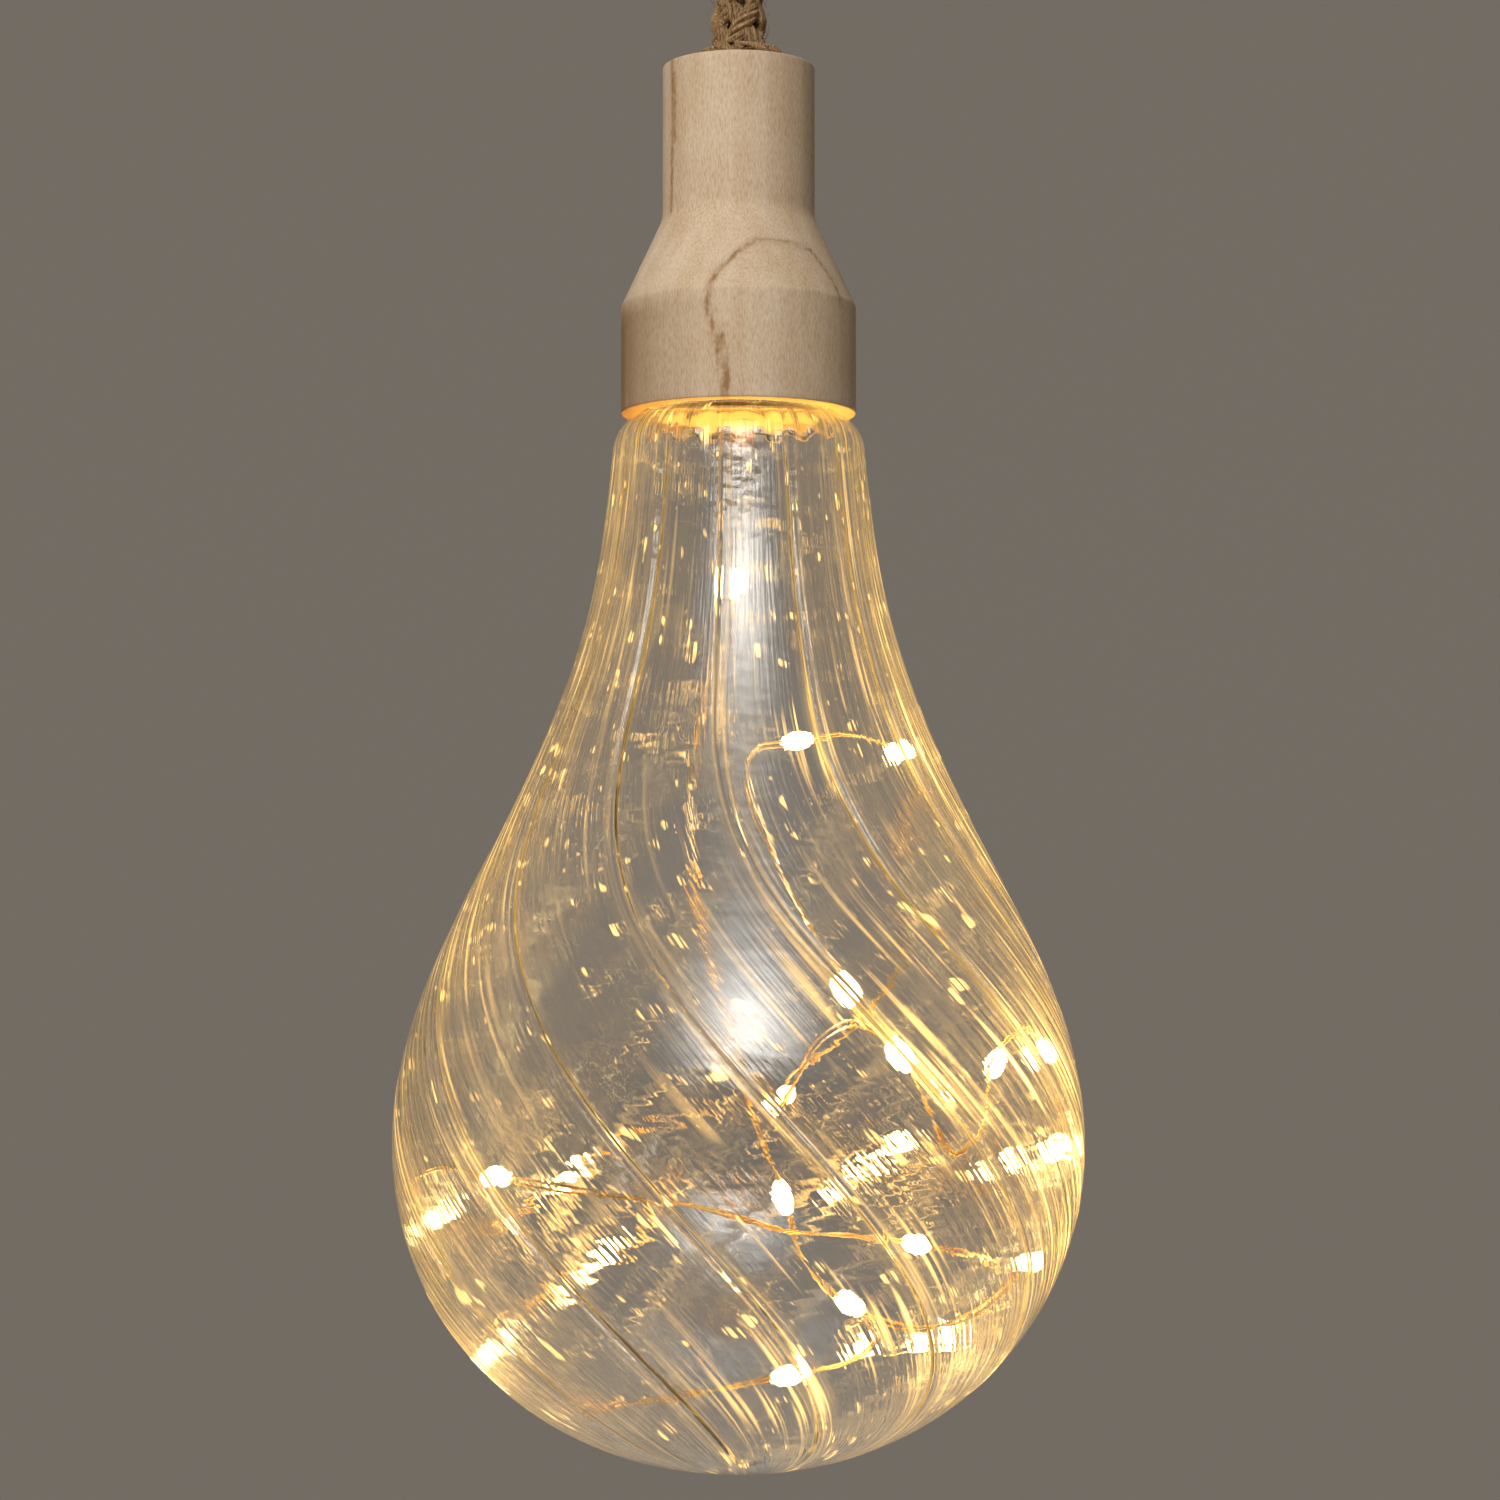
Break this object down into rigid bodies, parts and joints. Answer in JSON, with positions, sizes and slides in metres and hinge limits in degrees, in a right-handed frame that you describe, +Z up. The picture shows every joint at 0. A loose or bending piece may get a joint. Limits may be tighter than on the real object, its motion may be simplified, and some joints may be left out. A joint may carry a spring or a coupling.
{
  "type": "rope pendant lamp",
  "caption": "Pendant lamp: wooden ceiling rose and short jute rope over a turned wooden cap and a clear ribbed glass drop holding a string of small lamps on copper wire.",
  "frame": {"origin": "on the ceiling, at the middle of the ceiling bracket's upper face", "axes": "+Z up into the ceiling, -Y towards the front of the picture, +X to its right"},
  "size_m": [0.15, 0.15, 0.437],
  "materials": {
    "pale_wood": "turned, oiled, satin",
    "jute": "braided natural fibre",
    "zinc_steel": "zinc plated",
    "satin_brass": "turned, satin",
    "white_plastic": "moulded",
    "lead_sheath_brown": "extruded",
    "lead_sheath_blue": "extruded",
    "silicone": "translucent, moulded",
    "clear_glass": "mould-blown, clear, optic ribs",
    "copper_wire": "lacquered copper, drawn",
    "lamp_resin": "clear resin drop over a lit warm lamp"
  },
  "bodies": {
    "rose": {"rose_cup": "pale_wood", "ceiling_bracket": "zinc_steel", "cup_screw_left": "zinc_steel", "cup_screw_right": "zinc_steel", "seat_bush": "satin_brass", "led_driver": "white_plastic", "terminal_block": "white_plastic", "terminal_screw_1": "satin_brass", "terminal_screw_2": "satin_brass", "terminal_screw_3": "satin_brass", "terminal_screw_4": "satin_brass", "mains_lead_live": "lead_sheath_brown", "mains_lead_neutral": "lead_sheath_blue", "supply_lead": "white_plastic"},
    "swivel": {"swivel_washer": "zinc_steel"},
    "lamp": {"rose_knot": "jute", "rope": "jute", "rope_collar": "jute", "wooden_cap": "pale_wood", "knot_washer": "zinc_steel", "cap_knot": "jute", "cap_lead": "white_plastic", "splice_sleeve": "white_plastic", "neck_plug": "pale_wood", "neck_seal": "silicone", "glass_bulb": "clear_glass", "led_wire": "copper_wire", "led_01": "lamp_resin", "led_02": "lamp_resin", "led_03": "lamp_resin", "led_04": "lamp_resin", "led_05": "lamp_resin", "led_06": "lamp_resin", "led_07": "lamp_resin", "led_08": "lamp_resin", "led_09": "lamp_resin", "led_10": "lamp_resin", "led_11": "lamp_resin", "led_12": "lamp_resin", "led_13": "lamp_resin", "led_14": "lamp_resin", "led_15": "lamp_resin", "led_16": "lamp_resin", "led_17": "lamp_resin", "led_18": "lamp_resin", "led_19": "lamp_resin", "led_20": "lamp_resin", "led_21": "lamp_resin", "led_22": "lamp_resin", "led_23": "lamp_resin", "led_24": "lamp_resin"}
  },
  "joints": [
    {"name": "swing_side", "type": "hinge", "parent": "rose", "child": "swivel", "pos_m": [0, 0, -0.0262], "axis": [0, 1, 0], "range_deg": [-20, 20]},
    {"name": "swing_front", "type": "hinge", "parent": "swivel", "child": "lamp", "pos_m": [0, 0, -0.0262], "axis": [1, 0, 0], "range_deg": [-20, 20]}
  ]
}
